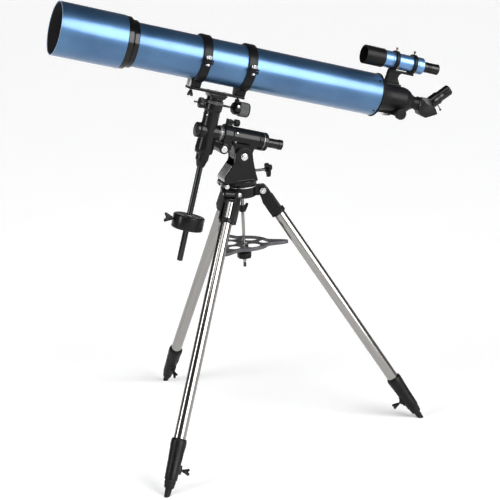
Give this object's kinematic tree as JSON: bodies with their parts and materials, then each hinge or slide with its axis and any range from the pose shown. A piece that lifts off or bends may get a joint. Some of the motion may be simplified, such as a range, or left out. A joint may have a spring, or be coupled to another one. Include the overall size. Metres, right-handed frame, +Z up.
{
  "type": "refractor telescope",
  "caption": "Blue refractor telescope on a German equatorial mount with counterweight, star diagonal, finder and folding steel tripod.",
  "frame": {"origin": "middle of the whole object's footprint box, on the floor under the feet", "axes": "+Z up, +X level towards the eyepiece end of the tube, +Y level across the tube; the tube and the polar axis lie in one plane square to Y"},
  "size_m": [1.13, 0.8178, 1.2262],
  "materials": {
    "polished_steel": "polished stainless steel tube with long soft reflections",
    "leg_plastic": "black moulded plastic, fine grain",
    "leg_foot": "black foot on a steel inner tube",
    "tray_paint": "black satin paint on sheet steel",
    "mount_paint": "gloss black enamel on cast aluminium",
    "chrome": "bright chrome plate",
    "knob_grey": "ribbed grey rubber grip",
    "knob_black": "black moulded plastic",
    "tube_blue": "metallic blue lacquer, clear coated",
    "optics_black": "satin black anodised metal",
    "lens_glass": "coated optical glass"
  },
  "bodies": {
    "tripod": {"tripod_hub": "mount_paint", "centre_rod": "polished_steel"},
    "rod_wing_nut": {"rod_wing_nut": "leg_plastic"},
    "tray": {"accessory_tray": "tray_paint"},
    "tray_knob": {"tray_knob": "leg_plastic"},
    "leg_right": {"leg_bracket_right": "leg_plastic", "leg_tube_right": "polished_steel", "leg_clamp_right": "leg_plastic"},
    "leg_extension_right": {"leg_extension_right": "leg_foot"},
    "leg_clamp_screw_right": {"leg_clamp_screw_right": "leg_plastic"},
    "leg_near": {"leg_bracket_near": "leg_plastic", "leg_tube_near": "polished_steel", "leg_clamp_near": "leg_plastic"},
    "leg_extension_near": {"leg_extension_near": "leg_foot"},
    "leg_clamp_screw_near": {"leg_clamp_screw_near": "leg_plastic"},
    "leg_far": {"leg_bracket_far": "leg_plastic", "leg_tube_far": "polished_steel", "leg_clamp_far": "leg_plastic"},
    "leg_extension_far": {"leg_extension_far": "leg_foot"},
    "leg_clamp_screw_far": {"leg_clamp_screw_far": "leg_plastic"},
    "azimuth": {"azimuth_base": "mount_paint"},
    "azimuth_bolt_near": {"azimuth_bolt_near": "chrome"},
    "azimuth_bolt_far": {"azimuth_bolt_far": "chrome"},
    "latitude_bolt": {"latitude_bolt": "chrome"},
    "polar_head": {"ra_housing": "mount_paint", "polar_scope": "mount_paint"},
    "latitude_t_bolt": {"latitude_t_bolt": "mount_paint"},
    "declination_housing": {"dec_housing": "mount_paint", "ra_shaft": "chrome", "ra_front_cap": "mount_paint", "counterweight_shaft": "chrome"},
    "ra_setting_circle": {"ra_setting_circle": "chrome"},
    "ra_clamp_knob": {"ra_clamp_knob": "mount_paint"},
    "ra_worm": {"ra_worm_knob": "knob_grey"},
    "saddle": {"saddle": "mount_paint", "mounting_plate": "mount_paint", "ring_lower_front": "mount_paint", "ring_lower_rear": "mount_paint", "main_tube": "tube_blue", "dew_shield": "tube_blue", "lens_cell": "optics_black", "objective_lens": "lens_glass", "focuser_housing": "optics_black", "finder_bracket": "optics_black"},
    "dec_setting_circle": {"dec_setting_circle": "mount_paint"},
    "dec_clamp_knob": {"dec_clamp_knob": "mount_paint"},
    "dec_worm": {"dec_worm_knob": "knob_grey"},
    "counterweight": {"counterweight": "mount_paint"},
    "counterweight_screw": {"counterweight_screw": "knob_black"},
    "ring_upper_front": {"ring_upper_front": "mount_paint"},
    "ring_screw_front": {"ring_screw_front": "chrome"},
    "ring_upper_rear": {"ring_upper_rear": "mount_paint"},
    "ring_screw_rear": {"ring_screw_rear": "chrome"},
    "drawtube": {"drawtube": "optics_black"},
    "focus_knobs": {"focus_knobs": "knob_black"},
    "focus_lock_screw": {"focus_lock_screw": "chrome"},
    "star_diagonal": {"star_diagonal": "optics_black"},
    "eyepiece": {"eyepiece": "optics_black"},
    "finder": {"finder_tube": "tube_blue"},
    "finder_eyepiece": {"finder_eyepiece": "optics_black"}
  },
  "joints": [
    {"name": "leg_fold_right", "type": "hinge", "parent": "tripod", "child": "leg_right", "pos_m": [-0.0142, -0.08457, 0.688], "axis": [0.284, 0.9588, 0], "range_deg": [0, 18]},
    {"name": "leg_extend_right", "type": "slide", "parent": "leg_right", "child": "leg_extension_right", "axis": [0.5048, -0.1495, -0.8502], "range_m": [0, 0.28]},
    {"name": "leg_screw_turn_right", "type": "hinge", "parent": "leg_right", "child": "leg_clamp_screw_right", "pos_m": [0.35842, -0.19494, 0.06037], "axis": [-0.8152, 0.2415, -0.5264], "range_deg": [0, 360]},
    {"name": "leg_fold_near", "type": "hinge", "parent": "tripod", "child": "leg_near", "pos_m": [-0.10851, -0.10721, 0.688], "axis": [0.6884, -0.7254, 0], "range_deg": [0, 18]},
    {"name": "leg_extend_near", "type": "slide", "parent": "leg_near", "child": "leg_extension_near", "axis": [-0.3819, -0.3624, -0.8502], "range_m": [0, 0.28]},
    {"name": "leg_screw_turn_near", "type": "hinge", "parent": "leg_near", "child": "leg_clamp_screw_near", "pos_m": [-0.39041, -0.37472, 0.06037], "axis": [0.9, 0.0633, -0.4312], "range_deg": [0, 360]},
    {"name": "leg_fold_far", "type": "hinge", "parent": "tripod", "child": "leg_far", "pos_m": [-0.08096, -0.01421, 0.688], "axis": [-0.9724, -0.2334, 0], "range_deg": [0, 18]},
    {"name": "leg_extend_far", "type": "slide", "parent": "leg_far", "child": "leg_extension_far", "axis": [-0.1229, 0.5119, -0.8502], "range_m": [0, 0.28]},
    {"name": "leg_screw_turn_far", "type": "hinge", "parent": "leg_far", "child": "leg_clamp_screw_far", "pos_m": [-0.17169, 0.36367, 0.06037], "axis": [0.0612, -0.8512, -0.5213], "range_deg": [0, 360]},
    {"name": "tray_turn", "type": "hinge", "parent": "tripod", "child": "tray", "pos_m": [-0.06789, -0.06866, 0.543], "axis": [0, 0, 1], "range_deg": [0, 60]},
    {"name": "tray_knob_turn", "type": "hinge", "parent": "tripod", "child": "tray_knob", "pos_m": [-0.06789, -0.06866, 0.52], "axis": [0, 0, 1], "range_deg": [0, 360]},
    {"name": "rod_wing_nut_turn", "type": "hinge", "parent": "tripod", "child": "rod_wing_nut", "pos_m": [-0.06789, -0.06866, 0.638], "axis": [0, 0, 1], "range_deg": [0, 360]},
    {"name": "azimuth_turn", "type": "hinge", "parent": "tripod", "child": "azimuth", "pos_m": [-0.06789, -0.06866, 0.704], "axis": [0, 0, 1], "range_deg": [-8, 8]},
    {"name": "azimuth_bolt_travel_near", "type": "slide", "parent": "azimuth", "child": "azimuth_bolt_near", "axis": [0, 1, 0], "range_m": [-0.008, 0.008]},
    {"name": "azimuth_bolt_travel_far", "type": "slide", "parent": "azimuth", "child": "azimuth_bolt_far", "axis": [0, 1, 0], "range_m": [-0.008, 0.008]},
    {"name": "latitude_bolt_turn", "type": "hinge", "parent": "azimuth", "child": "latitude_bolt", "pos_m": [-0.06789, -0.06866, 0.785], "axis": [0, -1, 0], "range_deg": [0, 120]},
    {"name": "latitude_tilt", "type": "hinge", "parent": "azimuth", "child": "polar_head", "pos_m": [-0.06789, -0.06866, 0.785], "axis": [0, 1, 0], "range_deg": [-15, 26]},
    {"name": "latitude_t_bolt_travel", "type": "slide", "parent": "azimuth", "child": "latitude_t_bolt", "axis": [1, 0, 0], "range_m": [-0.0215, 0.0125]},
    {"name": "ra_turn", "type": "hinge", "parent": "polar_head", "child": "declination_housing", "pos_m": [-0.12075, -0.06866, 0.84781], "axis": [-0.962, 0, 0.273], "range_deg": [-90, 90]},
    {"name": "ra_circle_turn", "type": "hinge", "parent": "declination_housing", "child": "ra_setting_circle", "pos_m": [-0.12075, -0.06866, 0.84781], "axis": [-0.962, 0, 0.273], "continuous": true},
    {"name": "ra_clamp_turn", "type": "hinge", "parent": "polar_head", "child": "ra_clamp_knob", "pos_m": [-0.08206, -0.06866, 0.87426], "axis": [0.962, 0, -0.273], "range_deg": [0, 180]},
    {"name": "ra_slow_motion", "type": "hinge", "parent": "polar_head", "child": "ra_worm", "pos_m": [-0.12123, -0.06866, 0.80949], "axis": [0, 1, 0], "continuous": true},
    {"name": "dec_turn", "type": "hinge", "parent": "declination_housing", "child": "saddle", "pos_m": [-0.13342, -0.06866, 0.93872], "axis": [0.273, 0, 0.962], "range_deg": [-135, 180]},
    {"name": "dec_circle_turn", "type": "hinge", "parent": "declination_housing", "child": "dec_setting_circle", "pos_m": [-0.13451, -0.06866, 0.93488], "axis": [0.273, 0, 0.962], "continuous": true},
    {"name": "dec_clamp_turn", "type": "hinge", "parent": "declination_housing", "child": "dec_clamp_knob", "pos_m": [-0.17256, -0.06866, 0.93632], "axis": [-0.962, 0, 0.273], "range_deg": [0, 180]},
    {"name": "dec_slow_motion", "type": "hinge", "parent": "declination_housing", "child": "dec_worm", "pos_m": [-0.05313, -0.03566, 0.90295], "axis": [0.962, 0, -0.273], "continuous": true},
    {"name": "counterweight_slide", "type": "slide", "parent": "declination_housing", "child": "counterweight", "axis": [-0.273, 0, -0.962], "range_m": [-0.13, 0.07]},
    {"name": "counterweight_screw_turn", "type": "hinge", "parent": "counterweight", "child": "counterweight_screw", "pos_m": [-0.27421, -0.06866, 0.63668], "axis": [-0.962, 0, 0.273], "range_deg": [0, 360]},
    {"name": "ring_open_front", "type": "hinge", "parent": "saddle", "child": "ring_upper_front", "pos_m": [-0.16817, -0.00166, 1.05253], "axis": [-0.962, 0, 0.273], "range_deg": [0, 100]},
    {"name": "ring_screw_turn_front", "type": "hinge", "parent": "ring_upper_front", "child": "ring_screw_front", "pos_m": [-0.16817, -0.13966, 1.05253], "axis": [0.273, 0, 0.962], "range_deg": [0, 360]},
    {"name": "ring_open_rear", "type": "hinge", "parent": "saddle", "child": "ring_upper_rear", "pos_m": [-0.04628, -0.00166, 1.01795], "axis": [-0.962, 0, 0.273], "range_deg": [0, 100]},
    {"name": "ring_screw_turn_rear", "type": "hinge", "parent": "ring_upper_rear", "child": "ring_screw_rear", "pos_m": [-0.04628, -0.13966, 1.01795], "axis": [0.273, 0, 0.962], "range_deg": [0, 360]},
    {"name": "focus_travel", "type": "slide", "parent": "saddle", "child": "drawtube", "axis": [0.962, 0, -0.273], "range_m": [-0.015, 0.07]},
    {"name": "focus_knob_turn", "type": "hinge", "parent": "saddle", "child": "focus_knobs", "pos_m": [0.38738, -0.06866, 0.85821], "axis": [0, -1, 0], "range_deg": [-145, 670]},
    {"name": "focus_lock_turn", "type": "hinge", "parent": "saddle", "child": "focus_lock_screw", "pos_m": [0.35972, -0.06866, 0.85598], "axis": [-0.273, 0, -0.962], "range_deg": [0, 360]},
    {"name": "diagonal_turn", "type": "hinge", "parent": "drawtube", "child": "star_diagonal", "pos_m": [0.46821, -0.06866, 0.87197], "axis": [0.962, 0, -0.273], "continuous": true},
    {"name": "eyepiece_pull", "type": "slide", "parent": "star_diagonal", "child": "eyepiece", "axis": [0.8733, 0, 0.4873], "range_m": [0, 0.018]},
    {"name": "finder_tilt", "type": "hinge", "parent": "saddle", "child": "finder", "pos_m": [0.39022, -0.06866, 1.00013], "axis": [0, 1, 0], "range_deg": [-1.2, 1.2]},
    {"name": "finder_focus", "type": "slide", "parent": "finder", "child": "finder_eyepiece", "axis": [0.962, 0, -0.273], "range_m": [-0.002, 0.008]}
  ],
  "couplings": [
    {"joint": "leg_fold_near", "follows": "leg_fold_right", "ratio": 1},
    {"joint": "leg_fold_far", "follows": "leg_fold_right", "ratio": 1},
    {"joint": "tray_turn", "follows": "leg_fold_right", "ratio": 3.3333},
    {"joint": "azimuth_bolt_travel_near", "follows": "azimuth_turn", "m_per_rad": 0.053},
    {"joint": "azimuth_bolt_travel_far", "follows": "azimuth_turn", "m_per_rad": 0.053},
    {"joint": "latitude_t_bolt_travel", "follows": "latitude_tilt", "m_per_rad": -0.046},
    {"joint": "focus_knob_turn", "follows": "focus_travel", "rad_per_m": 166.67}
  ]
}
